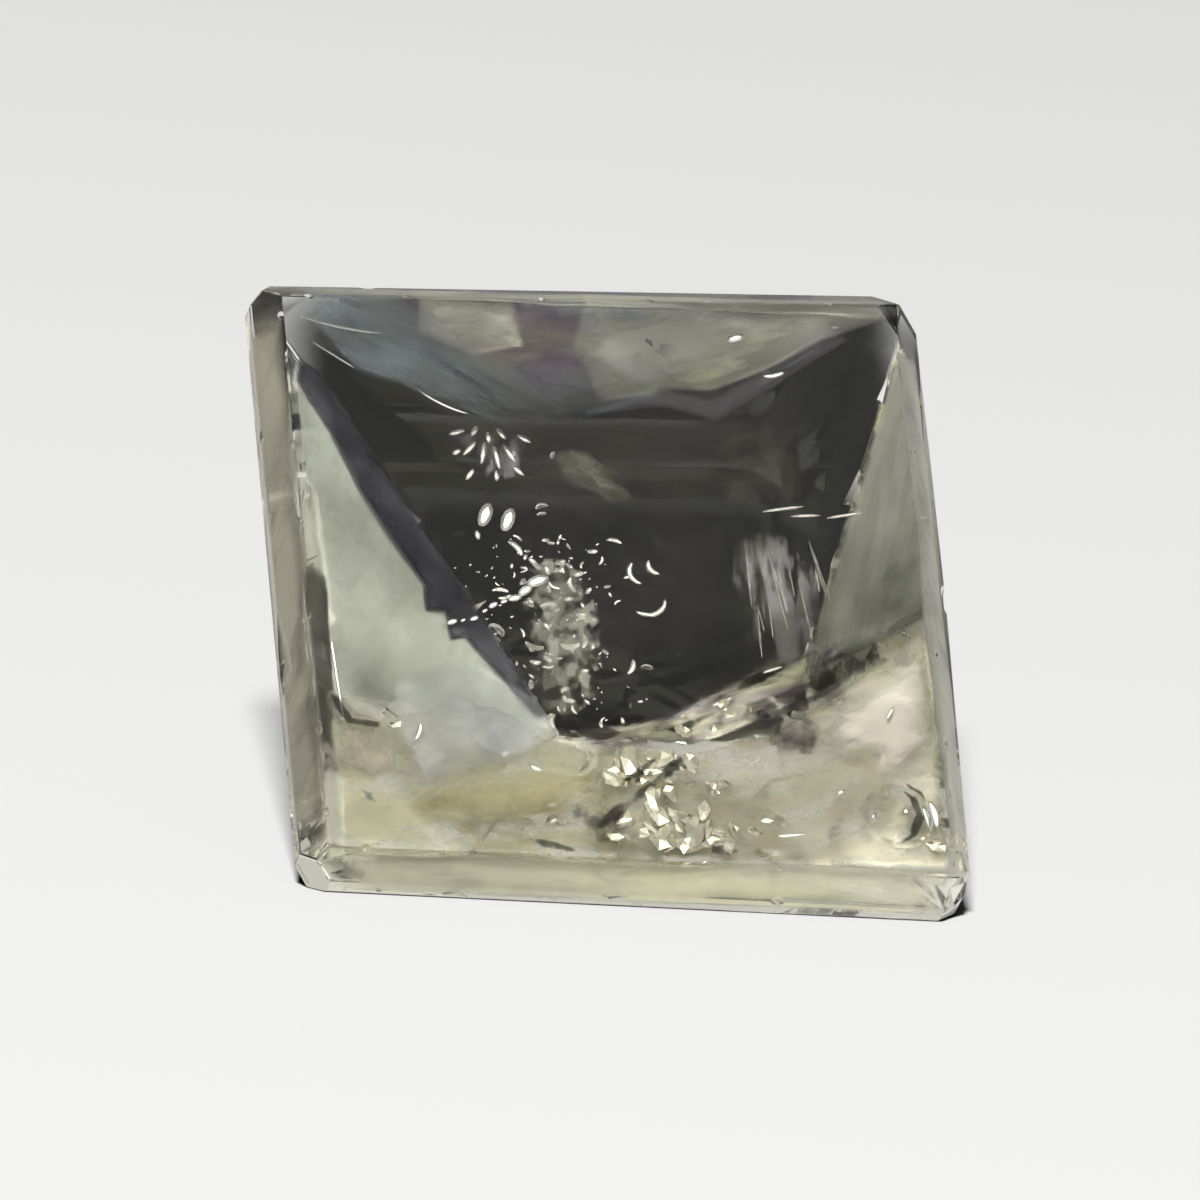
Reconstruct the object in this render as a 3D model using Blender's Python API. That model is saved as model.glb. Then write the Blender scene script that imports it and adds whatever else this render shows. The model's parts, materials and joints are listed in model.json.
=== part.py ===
"""A small square-cut gem of clear sodalite, chipped by handling, lying on its near lower facet.

The stone is cut from a block, one flat facet at a time, in its own upright pose: table up, +X to
the right, +Y to the far side, the origin in the middle of the table.  Chips, splinters and a
round pit are broken out of it, and it is then laid down on its near lower facet.
"""
import random
from math import cos, radians, sin, sqrt

import bmesh
import bpy
from mathutils import Matrix, Vector

MM = 0.001
NAME = "sodalite_stone"

# Driving dimensions of the cut
SIDE = 3.0 * MM                 # across the girdle, side to side
CROWN_HEIGHT = 0.11 * MM        # table down to the girdle
CROWN_SLOPE = 45.0              # degrees from the girdle plane
GIRDLE_HEIGHT = 0.10 * MM       # the upright band round the stone
CORNER_CUT = 0.10 * MM          # how far each corner of the square is cut back
KINK_ANGLE = 1.5                # degrees that the near half of the right side turns in
EDGE_WEAR = 0.010 * MM          # how far the handled edges are rubbed back

# The four sides, each named by its azimuth in degrees from +X, and the slope of the lower
# facet under it.  The far and near lower facets meet in the keel.
LEFT, FAR, RIGHT, NEAR = 179.6, 91.3, 359.4, 268.7
LOWER_SLOPE = {LEFT: 48.7, FAR: 46.8, RIGHT: 74.0, NEAR: 51.3}

# Splinters off the slanting lower edges: share of the way down the edge, width, length
LEFT_SPLINTERS = (
    (0.24, 0.030 * MM, 0.14 * MM),
    (0.50, 0.045 * MM, 0.16 * MM),
    (0.68, 0.085 * MM, 0.20 * MM),
    (0.86, 0.080 * MM, 0.17 * MM),
)
RIGHT_SPLINTERS = (
    (0.20, 0.040 * MM, 0.16 * MM),
    (0.42, 0.055 * MM, 0.20 * MM),
    (0.66, 0.110 * MM, 0.34 * MM),
    (0.88, 0.120 * MM, 0.26 * MM),
)

# Chips along the keel: share of the way from its left end, half length, depth
KEEL_CHIPS = (
    (0.05, 0.12 * MM, 0.030 * MM),
    (0.33, 0.16 * MM, 0.035 * MM),
    (0.58, 0.10 * MM, 0.025 * MM),
    (0.90, 0.15 * MM, 0.040 * MM),
)

# The broken patch in the near lower facet: place (x, y), half length, depth, turn in degrees
BROKEN_PATCH = (
    ((0.26 * MM, -0.72 * MM), 0.22 * MM, 0.050 * MM, 20.0),
    ((0.02 * MM, -0.56 * MM), 0.18 * MM, 0.040 * MM, -35.0),
    ((0.55 * MM, -0.88 * MM), 0.16 * MM, 0.045 * MM, 60.0),
    ((0.16 * MM, -1.00 * MM), 0.13 * MM, 0.035 * MM, 5.0),
    ((-0.20 * MM, -0.86 * MM), 0.12 * MM, 0.030 * MM, 75.0),
    ((0.62 * MM, -0.52 * MM), 0.17 * MM, 0.035 * MM, -15.0),
)

# Chips along the girdle: side, distance along it from its middle, half length, depth
GIRDLE_CHIPS = (
    (FAR, 0.92 * MM, 0.07 * MM, 0.020 * MM),
    (NEAR, -0.10 * MM, 0.09 * MM, 0.030 * MM),
    (NEAR, 0.62 * MM, 0.06 * MM, 0.020 * MM),
    (RIGHT, 0.02 * MM, 0.10 * MM, 0.030 * MM),
    (RIGHT, -0.62 * MM, 0.07 * MM, 0.020 * MM),
    (LEFT, 0.38 * MM, 0.42 * MM, 0.045 * MM),
    (LEFT, -0.70 * MM, 0.06 * MM, 0.020 * MM),
)
CORNER_CHIP = 0.17 * MM         # half length of the chip off the near right corner
SIDE_NIBBLES = 6                # specks chipped off each edge of the table
NIBBLE_SIZE = 0.030 * MM
UNEVEN = 0.12                   # how far a chip's corners are pulled in, as a share of its size
SEED = 7

# The round pit in the table, by the near right corner
PIT_PLACE = (1.13 * MM, -1.14 * MM)
PIT_RADIUS = 0.16 * MM
PIT_DEPTH = 0.070 * MM

HALF = SIDE / 2
BLOCK = 2 * SIDE                # the rough block that the stone is cut from
GIRDLE_TOP = -CROWN_HEIGHT
GIRDLE_FOOT = GIRDLE_TOP - GIRDLE_HEIGHT
UP = Vector((0.0, 0.0, 1.0))
chance = random.Random(SEED)


def direction(azimuth):
    return Vector((cos(radians(azimuth)), sin(radians(azimuth)), 0.0))


def facet(azimuth, slope, reach, level):
    """A flat cut as (point, outward normal).

    The cut passes `reach` from the upright axis at the height `level`.  Its slope is measured
    from the girdle plane: positive above the girdle, negative below it, 90 for an upright side.
    """
    out = direction(azimuth)
    rise = cos(radians(slope)) if slope > 0 else -cos(radians(slope))
    return out * reach + UP * level, out * sin(radians(abs(slope))) + UP * rise


def meeting_point(*cuts):
    """The point where three facets meet."""
    normals = Matrix([normal for _, normal in cuts])
    reaches = Vector([point.dot(normal) for point, normal in cuts])
    return normals.inverted() @ reaches


def on_facet(cut, x, y):
    """The point of a facet that is straight above or below (x, y)."""
    point, normal = cut
    flat = Vector((x, y, 0.0))
    return flat + UP * ((point - flat).dot(normal) / normal.z)


TABLE = (Vector(), UP)
FOOT = (UP * GIRDLE_FOOT, UP)
CROWN = {side: facet(side, CROWN_SLOPE, HALF, GIRDLE_TOP) for side in LOWER_SLOPE}
GIRDLE = {side: facet(side, 90.0, HALF, GIRDLE_TOP) for side in LOWER_SLOPE}
LOWER = {side: facet(side, -slope, HALF, GIRDLE_FOOT) for side, slope in LOWER_SLOPE.items()}
KINK = facet(RIGHT - KINK_ANGLE, 90.0, HALF, GIRDLE_TOP)
CORNER_REACH = SIDE / sqrt(2) - CORNER_CUT
CORNERS = [facet(side + 45.0, 90.0, CORNER_REACH, GIRDLE_TOP) for side in LOWER_SLOPE]

FAR_LEFT = meeting_point(FOOT, LOWER[FAR], LOWER[LEFT])
FAR_RIGHT = meeting_point(FOOT, LOWER[FAR], LOWER[RIGHT])
KEEL_LEFT = meeting_point(LOWER[LEFT], LOWER[FAR], LOWER[NEAR])
KEEL_RIGHT = meeting_point(LOWER[RIGHT], LOWER[FAR], LOWER[NEAR])


def clear_scene():
    for old in list(bpy.data.objects):
        bpy.data.objects.remove(old, do_unlink=True)


def new_collection(name):
    collection = bpy.data.collections.new(name)
    bpy.context.scene.collection.children.link(collection)
    return collection


def clear_stone_material():
    material = bpy.data.materials.new("clear_sodalite")
    material.use_nodes = True
    shader = material.node_tree.nodes["Principled BSDF"]
    shader.inputs["Base Color"].default_value = (0.96, 0.96, 0.92, 1.0)
    shader.inputs["Roughness"].default_value = 0.02
    shader.inputs["Metallic"].default_value = 0.0
    shader.inputs["IOR"].default_value = 1.483
    shader.inputs["Transmission Weight"].default_value = 1.0
    return material


def cut_gem():
    """The gem's mesh: a block, cut flat along every facet, with its edges a little worn."""
    gem = bmesh.new()
    bmesh.ops.create_cube(gem, size=BLOCK)
    cuts = [TABLE, *CROWN.values(), *GIRDLE.values(), KINK, *CORNERS, *LOWER.values()]
    for point, normal in cuts:
        everything = gem.verts[:] + gem.edges[:] + gem.faces[:]
        cut = bmesh.ops.bisect_plane(
            gem, geom=everything, dist=1e-8, plane_co=point, plane_no=normal, clear_outer=True
        )
        rim = [part for part in cut["geom_cut"] if isinstance(part, bmesh.types.BMEdge)]
        if rim:
            bmesh.ops.contextual_create(gem, geom=rim)
    worn = [edge for edge in gem.edges if edge.calc_face_angle() > radians(10)]
    bmesh.ops.bevel(gem, geom=worn, affect="EDGES", offset=EDGE_WEAR, segments=2, profile=0.5)
    bmesh.ops.recalc_face_normals(gem, faces=gem.faces)
    mesh = bpy.data.meshes.new(NAME)
    gem.to_mesh(mesh)
    gem.free()
    return mesh


def facing(outward, along):
    """A rotation that turns Z outward and X along."""
    z = outward.normalized()
    x = (along - z * along.dot(z)).normalized()
    return Matrix((x, z.cross(x), z)).transposed().to_4x4()


def break_out(stone, cutters, shape, matrix):
    """Break one shape, placed by its matrix, out of the stone with a Boolean."""
    shape.transform(matrix)
    mesh = bpy.data.meshes.new("chip")
    shape.to_mesh(mesh)
    shape.free()
    cutter = bpy.data.objects.new("chip", mesh)
    cutters.objects.link(cutter)
    cutter.parent = stone
    cutter.hide_render = True
    cutter.display_type = "WIRE"
    chip = stone.modifiers.new("chip", "BOOLEAN")
    chip.operation = "DIFFERENCE"
    chip.solver = "EXACT"
    chip.object = cutter


def shell_chip(place, outward, along, size, depth):
    """A chip: an uneven ellipsoid of the given half lengths that reaches `depth` into the stone."""
    ball = bmesh.new()
    bmesh.ops.create_icosphere(ball, subdivisions=2, radius=1.0)
    for corner in ball.verts:
        corner.co *= 1.0 - chance.uniform(0.0, UNEVEN)
    centre = place + outward.normalized() * (size[2] - depth)
    placed = Matrix.Translation(centre) @ facing(outward, along) @ Matrix.Diagonal((*size, 1.0))
    return ball, placed


def splinter(place, facet_normal, along, width, length):
    """A three-sided chip that runs along an edge, from a broad end to a point.

    Its inner wall lies along the facet with the given normal, half its width into the stone.
    """
    wedge = bmesh.new()
    bmesh.ops.create_cone(
        wedge, cap_ends=True, segments=3, radius1=width, radius2=0.0, depth=length
    )
    return wedge, Matrix.Translation(place) @ facing(along, facet_normal)


def edge_splinters():
    """Splinters off the two slanting edges of the far lower facet."""
    for start, end, side, places in (
        (FAR_LEFT, KEEL_LEFT, LEFT, LEFT_SPLINTERS),
        (FAR_RIGHT, KEEL_RIGHT, RIGHT, RIGHT_SPLINTERS),
    ):
        for share, width, length in places:
            yield splinter(start.lerp(end, share), LOWER[side][1], start - end, width, length)


def keel_chips():
    keel = KEEL_RIGHT - KEEL_LEFT
    outward = LOWER[FAR][1] + LOWER[NEAR][1]
    for share, length, depth in KEEL_CHIPS:
        size = (length, length * 0.7, length * 0.6)
        yield shell_chip(KEEL_LEFT + keel * share, outward, keel, size, depth)


def broken_patch():
    normal = LOWER[NEAR][1]
    for (x, y), length, depth, turn in BROKEN_PATCH:
        size = (length, length * 0.62, length * 0.55)
        yield shell_chip(on_facet(LOWER[NEAR], x, y), normal, direction(turn), size, depth)


def girdle_chips():
    for side, offset, length, depth in GIRDLE_CHIPS:
        along = direction(side + 90.0)
        place = direction(side) * HALF + along * offset + UP * GIRDLE_TOP
        size = (length, max(length * 0.5, 0.09 * MM), max(length * 0.4, 0.06 * MM))
        yield shell_chip(place, direction(side) + UP * 0.4, along, size, depth)


def corner_chip():
    """The chip that rounds off the near right corner."""
    outward = direction((NEAR + RIGHT) / 2) + UP * 0.25
    place = direction((NEAR + RIGHT) / 2) * CORNER_REACH + UP * GIRDLE_TOP
    size = (CORNER_CHIP, CORNER_CHIP, CORNER_CHIP * 0.7)
    yield shell_chip(place, outward, UP, size, CORNER_CHIP * 0.35)


def table_nibbles():
    """Specks chipped off the table's edges, at uneven steps along each side."""
    step = 1.8 * HALF / SIDE_NIBBLES
    for side in LOWER_SLOPE:
        along = direction(side + 90.0)
        for number in range(SIDE_NIBBLES):
            offset = step * (number - SIDE_NIBBLES / 2 + chance.uniform(0.2, 0.8))
            place = direction(side) * (HALF - CROWN_HEIGHT) + along * offset
            length = NIBBLE_SIZE * chance.uniform(0.7, 1.8)
            depth = NIBBLE_SIZE * chance.uniform(0.3, 0.6)
            size = (length, NIBBLE_SIZE, NIBBLE_SIZE)
            yield shell_chip(place, direction(side) + UP, along, size, depth)


def table_pit():
    """The round pit: a ball's cap, PIT_DEPTH deep and twice PIT_RADIUS across at the table."""
    radius = (PIT_RADIUS ** 2 + PIT_DEPTH ** 2) / (2 * PIT_DEPTH)
    ball = bmesh.new()
    bmesh.ops.create_icosphere(ball, subdivisions=4, radius=radius)
    yield ball, Matrix.Translation(Vector((*PIT_PLACE, radius - PIT_DEPTH)))


def lay_down(stone):
    """Turn the stone onto its near lower facet, with the origin under the middle of its box."""
    stone.rotation_mode = "QUATERNION"
    stone.rotation_quaternion = LOWER[NEAR][1].rotation_difference(-UP)
    bpy.context.view_layer.update()
    shape = stone.evaluated_get(bpy.context.evaluated_depsgraph_get()).to_mesh()
    points = [stone.matrix_world @ vertex.co for vertex in shape.vertices]
    low = Vector(min(point[axis] for point in points) for axis in range(3))
    high = Vector(max(point[axis] for point in points) for axis in range(3))
    stone.location = -Vector(((low.x + high.x) / 2, (low.y + high.y) / 2, low.z))


def build():
    clear_scene()
    stones, cutters = new_collection(NAME), new_collection("cutters")
    stone = bpy.data.objects.new(NAME, cut_gem())
    stone.data.materials.append(clear_stone_material())
    stones.objects.link(stone)
    for chips in (
        edge_splinters, keel_chips, broken_patch, girdle_chips, corner_chip, table_nibbles, table_pit
    ):
        for shape, placed in chips():
            break_out(stone, cutters, shape, placed)
    lay_down(stone)


build()
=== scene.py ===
"""The clear sodalite gem: its polished body, the flaws inside it, a pale floor, soft light and camera.

Places inside the stone are given in the stone's own upright pose, in millimetres: right and far
are measured on the table from its middle, and depth is measured down from the table. The right
and far of a place are where the camera sees it on the table, whatever its depth.
"""
import json
import random
from math import cos, radians, sin, sqrt, tan

import bmesh
import bpy
from mathutils import Matrix, Vector
from mathutils.geometry import intersect_point_line


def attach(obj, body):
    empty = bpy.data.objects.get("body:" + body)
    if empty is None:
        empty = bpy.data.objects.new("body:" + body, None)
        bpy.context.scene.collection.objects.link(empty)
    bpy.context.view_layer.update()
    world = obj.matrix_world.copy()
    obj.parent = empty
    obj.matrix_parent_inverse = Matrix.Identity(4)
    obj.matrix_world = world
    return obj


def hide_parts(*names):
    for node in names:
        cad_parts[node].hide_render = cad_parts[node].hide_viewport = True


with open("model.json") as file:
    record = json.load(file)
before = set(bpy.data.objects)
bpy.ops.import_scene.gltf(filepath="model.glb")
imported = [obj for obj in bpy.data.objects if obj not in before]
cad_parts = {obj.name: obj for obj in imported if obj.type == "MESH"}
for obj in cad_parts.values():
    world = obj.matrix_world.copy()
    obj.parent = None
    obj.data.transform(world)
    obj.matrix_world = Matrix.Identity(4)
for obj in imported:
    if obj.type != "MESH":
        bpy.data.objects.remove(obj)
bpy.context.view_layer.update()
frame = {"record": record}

MM = 0.001
STONE_NODE = "sodalite_stone"
BODY = "gem_body"

# The stone
REFRACTION = 1.483              # refractive index of sodalite
STONE_TINT = (1.0, 1.0, 0.985, 1.0)
ABSORPTION_TINT = (0.84, 0.83, 0.46, 1.0)
ABSORPTION_DENSITY = 110.0      # per metre
POLISH, WHEEL_MARK = 0.008, 0.05    # roughness of a clean facet, and what a wheel mark adds
WELD = 0.0002 * MM              # corners closer than this are one corner
FLAT_ANGLE = radians(0.2)       # faces that turn less than this are one facet
FACET_AREA = 0.01 * MM * MM     # faces larger than this are polished flat
FACET_CREASE, CHIP_CREASE = radians(1), radians(12)     # edges that turn more than this are sharp

# The flaws
FILM_THICKNESS = 0.004 * MM
ROOM_TO_FACET = 0.015 * MM      # least stone left between a flaw and a facet
RIPPLE_LENGTH = 0.35 * MM
RIPPLE_HEIGHT, CRACK_RIPPLE = 0.05 * MM, 0.03 * MM
FILM_CUTS, CRACK_CUTS = 7, 4    # how finely a sheet's triangles are divided before it is rippled
CRACK_FADE, PATCH_FADE = 0.03, 0.12     # mm, how far in a crack or stain reaches its full strength
EDGE_HOLD = 0.4                 # how much more of a film there is in its middle than at its outline

# The view: where the camera stands round the stone, in degrees, and what its frame takes in
VIEW_AZIMUTH = -15.2
VIEW_ELEVATION = 8.4
VIEW_ROLL = 5.1
VIEW_ANGLE = 4.0
FRAME_WIDTH = 5.2 * MM
FRAME_CENTRE_LIFT = 1.16 * MM
NEAREST, FARTHEST = 0.001, 10.0

# Floor and light, in metres and watts
FLOOR_SIZE, FLOOR_GAP = 1.6, 0.003 * MM
FLOOR_TINT, FLOOR_ROUGHNESS = (0.8, 0.8, 0.79, 1.0), 0.9
KEY_AZIMUTH, KEY_ELEVATION = -19.5, 33.0
KEY_DISTANCE, KEY_SIZE, KEY_POWER = 0.5, 0.05, 4.8
FILL_AZIMUTH, FILL_ELEVATION = 0.0, 80.0
FILL_DISTANCE, FILL_SIZE, FILL_POWER = 0.5, 0.3, 0.07
ROOM_TINT = (1.0, 0.99, 0.96, 1.0)
HORIZON_GLOW, ZENITH_GLOW, SOFTBOX_GLOW = 0.56, 0.24, 2.5
ZENITH_HEIGHT, SOFTBOX_HEIGHT = 0.78, 0.97      # sine of the elevation where each takes over

mounts = {mount["name"]: mount for mount in frame["record"]["mounts"]}
table_middle = Vector(mounts["table"]["pos_m"])
table_normal = Vector(mounts["table"]["axis"]).normalized()
table_right = (Vector((1, 0, 0)) - table_normal * table_normal.x).normalized()
table_far = table_normal.cross(table_right)
STONE_POSE = Matrix.Translation(table_middle) @ Matrix(
    (table_right, table_far, table_normal)
).transposed().to_4x4()


def toward(azimuth, elevation):
    """The direction from the stone to a place round it, azimuth 0 being the front."""
    a, e = radians(azimuth), radians(elevation)
    return Vector((sin(a) * cos(e), -cos(a) * cos(e), sin(e)))


view_back = toward(VIEW_AZIMUTH, VIEW_ELEVATION)
sight_in = STONE_POSE.to_3x3().inverted() @ -view_back
SIGHT_LEAN = Vector((sight_in.x, sight_in.y)) / REFRACTION
SIGHT_SLOPE = SIGHT_LEAN / sqrt(1.0 - SIGHT_LEAN.length_squared)


def inside(right, far, depth):
    """The world place, `depth` mm under the table, that the camera sees at (right, far) on the table."""
    x = right + SIGHT_SLOPE.x * depth
    y = far + SIGHT_SLOPE.y * depth
    return STONE_POSE @ (Vector((x, y, -depth)) * MM)


# The pose of a flake inside the stone that throws the ceiling light through the table to the camera
ceiling = Vector((0, 0, 1))
along_table = (ceiling - table_normal * table_normal.z) / REFRACTION
light_inside = along_table + table_normal * sqrt(1.0 - along_table.length_squared)
camera_inside = STONE_POSE.to_3x3() @ Vector((*-SIGHT_LEAN, sqrt(1.0 - SIGHT_LEAN.length_squared)))
glitter = (light_inside + camera_inside).normalized()
glitter_right = (table_right - glitter * table_right.dot(glitter)).normalized()
GLITTER_POSE = Matrix((glitter_right, glitter.cross(glitter_right), glitter)).transposed().to_4x4()


class Socket:
    """A shader socket that takes part in sums."""

    def __init__(self, tree, link):
        self.tree, self.link = tree, link

    def __add__(self, other):
        return self.tree.node("ShaderNodeMath", {"operation": "ADD"}, self, other)

    def __mul__(self, other):
        return self.tree.node("ShaderNodeMath", {"operation": "MULTIPLY"}, self, other)

    def above(self, edge, softness):
        """0 below the edge, 1 above it, with a soft step."""
        low, high = edge - softness / 2, edge + softness / 2
        settings = {"interpolation_type": "SMOOTHSTEP"}
        return self.tree.node("ShaderNodeMapRange", settings, self, low, high, 0.0, 1.0)


class Tree:
    """A material's or world's node tree, with one method that adds any node."""

    def __init__(self, owner):
        owner.use_nodes = True
        self.nodes, self.links = owner.node_tree.nodes, owner.node_tree.links

    def node(self, kind, settings=None, *values, output=0, **named):
        """Add a node, give its inputs by place or by name, and return one of its outputs."""
        made = self.nodes.new(kind)
        for name, value in (settings or {}).items():
            setattr(made, name, value)
        for key, value in [*enumerate(values), *named.items()]:
            if isinstance(key, str):
                key = key.replace("_", " ")
            self.put(made.inputs[key], value)
        return Socket(self, made.outputs[output])

    def put(self, target, value):
        if isinstance(value, Socket):
            self.links.new(value.link, target)
        else:
            target.default_value = value


def pick_only(thing):
    bpy.ops.object.select_all(action="DESELECT")
    thing.select_set(True)
    bpy.context.view_layer.objects.active = thing


def apply_all(thing):
    """Apply every modifier of the object."""
    pick_only(thing)
    for modifier in list(thing.modifiers):
        bpy.ops.object.modifier_apply(modifier=modifier.name)


def settle(thing):
    """Put the object's place into its mesh."""
    pick_only(thing)
    bpy.ops.object.transform_apply(location=True, rotation=True, scale=True)


def keep_inside(thing):
    """Draw back into the stone whatever reaches through a facet."""
    keep_in = thing.modifiers.new("keep_in", "SHRINKWRAP")
    keep_in.target = bpy.data.objects[BODY]
    keep_in.wrap_mode = "INSIDE"
    keep_in.offset = ROOM_TO_FACET


def fit_in(thing, material):
    """A finished piece gets its finish and rides with the stone, under the root empty."""
    thing.data.materials.clear()
    thing.data.materials.append(material)
    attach(thing, "root")


# ---------------------------------------------------------------- finishes


def place_mm(tree):
    """Object coordinates in millimetres."""
    coordinates = tree.node("ShaderNodeTexCoord", output="Object")
    return tree.node("ShaderNodeVectorMath", {"operation": "SCALE"}, coordinates, Scale=1.0 / MM)


def stretched(tree, turn, stretch):
    """The place in millimetres, turned in the upright plane and drawn out along its own X."""
    settings = {"vector_type": "TEXTURE"}
    rotation = (0.0, -radians(turn), 0.0)
    return tree.node(
        "ShaderNodeMapping", settings, place_mm(tree), Rotation=rotation, Scale=(stretch, 1.0, 1.0)
    )


def film_cover(tree):
    """How far in from the film's outline the place is, as `store_cover` stored it."""
    return tree.node("ShaderNodeAttribute", {"attribute_name": "cover"}, output="Fac")


def tint_ramp(tree, value, tints):
    """Even steps through the tints, softly blended."""
    ramp = tree.node("ShaderNodeValToRGB", {}, value)
    stops = ramp.link.node.color_ramp
    stops.interpolation = "EASE"
    while len(stops.elements) < len(tints):
        stops.elements.new(0.5)
    for number, (stop, tint) in enumerate(zip(stops.elements, tints)):
        stop.position = 0.32 + 0.36 * number / (len(tints) - 1)
        stop.color = (*tint, 1.0)
    return ramp


def new_finish(name):
    material = bpy.data.materials.new(name)
    tree = Tree(material)
    return material, tree, tree.nodes["Principled BSDF"]


def clear_stone():
    """Polished clear sodalite: faint yellow through its thickness, fine wheel marks on its faces."""
    material, tree, shader = new_finish("clear_sodalite")
    marks = tree.node("ShaderNodeTexNoise", {}, stretched(tree, 35.0, 6.0), Scale=30.0, Detail=2.0)
    tree.put(shader.inputs["Roughness"], marks.above(0.62, 0.1) * WHEEL_MARK + POLISH)
    shader.inputs["Base Color"].default_value = STONE_TINT
    shader.inputs["IOR"].default_value = REFRACTION
    shader.inputs["Transmission Weight"].default_value = 1.0
    absorption = tree.nodes.new("ShaderNodeVolumeAbsorption")
    absorption.inputs["Color"].default_value = ABSORPTION_TINT
    absorption.inputs["Density"].default_value = ABSORPTION_DENSITY
    tree.links.new(absorption.outputs["Volume"], tree.nodes["Material Output"].inputs["Volume"])
    return material


def veil(name, tints, thin, thick, turn=0.0, stretch=1.0, fineness=4.0, patches=1.2):
    """A film of minute fluid traces, or a sheet of painted shade beside the dark facet.

    It hides from `thin` to `thick` of what lies behind it, and frays towards its edge. Its traces
    run at `turn` degrees, `stretch` times longer than wide, and are finer than its tint patches.
    """
    material, tree, shader = new_finish(name)
    place = stretched(tree, turn, stretch)
    tone = tree.node("ShaderNodeTexNoise", {}, place, Scale=patches, Detail=2.0)
    tree.put(shader.inputs["Base Color"], tint_ramp(tree, tone, tints))
    wisps = tree.node("ShaderNodeTexNoise", {}, place, Scale=fineness, Detail=4.0, Roughness=0.6)
    cover = film_cover(tree)
    trace = (wisps + cover * EDGE_HOLD).above(0.86, 0.26)
    tree.put(shader.inputs["Alpha"], cover * thin + trace * (thick - thin))
    shader.inputs["Roughness"].default_value = 0.4
    shader.inputs["Metallic"].default_value = 1.0
    return material


def bright_grain(name="bright_grain", tint=(0.97, 0.96, 0.93)):
    """Gas and fluid specks that throw the light back."""
    material, tree, shader = new_finish(name)
    cloud = tree.node("ShaderNodeTexNoise", {}, place_mm(tree), Scale=12.0, Detail=3.0)
    tree.put(shader.inputs["Roughness"], cloud * 0.3 + 0.02)
    shader.inputs["Base Color"].default_value = (*tint, 1.0)
    shader.inputs["Metallic"].default_value = 1.0
    return material


def gas():
    """A bubble's skin, seen from inside the stone."""
    material, _, shader = new_finish("gas")
    shader.inputs["Base Color"].default_value = (1.0, 1.0, 1.0, 1.0)
    shader.inputs["Roughness"].default_value = 0.0
    shader.inputs["IOR"].default_value = 1.0 / REFRACTION
    shader.inputs["Transmission Weight"].default_value = 1.0
    return material


def dark_crack_and_shadow():
    """Dirt in the cracks and stains, and painted shadow in the pit and along the keel."""
    material, tree, shader = new_finish("dark_crack_and_shadow")
    cloud = tree.node("ShaderNodeTexNoise", {}, place_mm(tree), Scale=9.0, Detail=5.0)
    tree.put(shader.inputs["Base Color"], tint_ramp(tree, cloud, SOOT_AND_SHADE))
    # Where the dirt or the painted shadow shows, fuller away from the outline
    grime_and_shade = (cloud + film_cover(tree) * EDGE_HOLD).above(0.76, 0.3)
    tree.put(shader.inputs["Alpha"], grime_and_shade * 0.6)
    shader.inputs["Roughness"].default_value = 0.5
    return material


# ---------------------------------------------------------------- the stone's body


def worn_body():
    """The cut stone: the solid's own shape, its facets flat and its round pit smooth."""
    pick_only(bpy.data.objects[STONE_NODE])
    bpy.ops.object.duplicate()
    body = bpy.context.object
    body.name = BODY
    bpy.ops.object.mode_set(mode="EDIT")
    bpy.ops.mesh.select_all(action="SELECT")
    bpy.ops.mesh.remove_doubles(threshold=WELD)
    bpy.ops.mesh.dissolve_limited(angle_limit=FLAT_ANGLE)
    bpy.ops.object.mode_set(mode="OBJECT")
    bpy.ops.object.shade_smooth()
    mesh = bmesh.new()
    mesh.from_mesh(body.data)
    for edge in mesh.edges:
        beside_facet = max(face.calc_area() for face in edge.link_faces) > FACET_AREA
        edge.smooth = edge.calc_face_angle(0.0) < (FACET_CREASE if beside_facet else CHIP_CREASE)
    mesh.to_mesh(body.data)
    mesh.free()
    fit_in(body, clear_stone())
    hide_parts(STONE_NODE)


# ---------------------------------------------------------------- films and cracks


def store_cover(sheet, corners, fade):
    """Store on each vertex how far in it is: 0 at the outline, 1 from `fade` mm inwards."""
    sides = list(zip(corners, corners[1:] + corners[:1]))
    cover = sheet.data.attributes.new("cover", "FLOAT", "POINT")
    for vertex, stored in zip(sheet.data.vertices, cover.data):
        gaps = []
        for start, end in sides:
            nearest, share = intersect_point_line(vertex.co, start, end)
            nearest = start if share < 0.0 else end if share > 1.0 else nearest
            gaps.append((vertex.co - nearest).length)
        stored.value = sqrt(min(1.0, min(gaps) / (fade * MM)))


def film(name, outline, fade, finish, ripple=RIPPLE_HEIGHT, cuts=FILM_CUTS):
    """A thin rippled sheet inside the stone, laid through the outline's places."""
    corners = [inside(*place) for place in outline]
    bpy.ops.object.select_all(action="DESELECT")
    bpy.ops.mesh.primitive_circle_add(vertices=len(corners), radius=MM, fill_type="NGON")
    sheet = bpy.context.object
    sheet.name = name
    for vertex, corner in zip(sheet.data.vertices, corners):
        vertex.co = corner
    bpy.ops.object.mode_set(mode="EDIT")
    bpy.ops.mesh.select_all(action="SELECT")
    bpy.ops.mesh.quads_convert_to_tris(ngon_method="BEAUTY")
    bpy.ops.mesh.subdivide(number_cuts=cuts)
    bpy.ops.object.mode_set(mode="OBJECT")
    store_cover(sheet, corners, fade)
    ripples = bpy.data.textures.new(name, "CLOUDS")
    ripples.noise_scale = RIPPLE_LENGTH
    displace = sheet.modifiers.new("ripple", "DISPLACE")
    displace.texture = ripples
    displace.texture_coords = "GLOBAL"
    displace.strength = ripple
    keep_inside(sheet)
    solid = sheet.modifiers.new("thickness", "SOLIDIFY")
    solid.thickness = FILM_THICKNESS
    solid.offset = 0.0
    apply_all(sheet)
    bpy.ops.object.shade_smooth()
    fit_in(sheet, finish)


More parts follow.
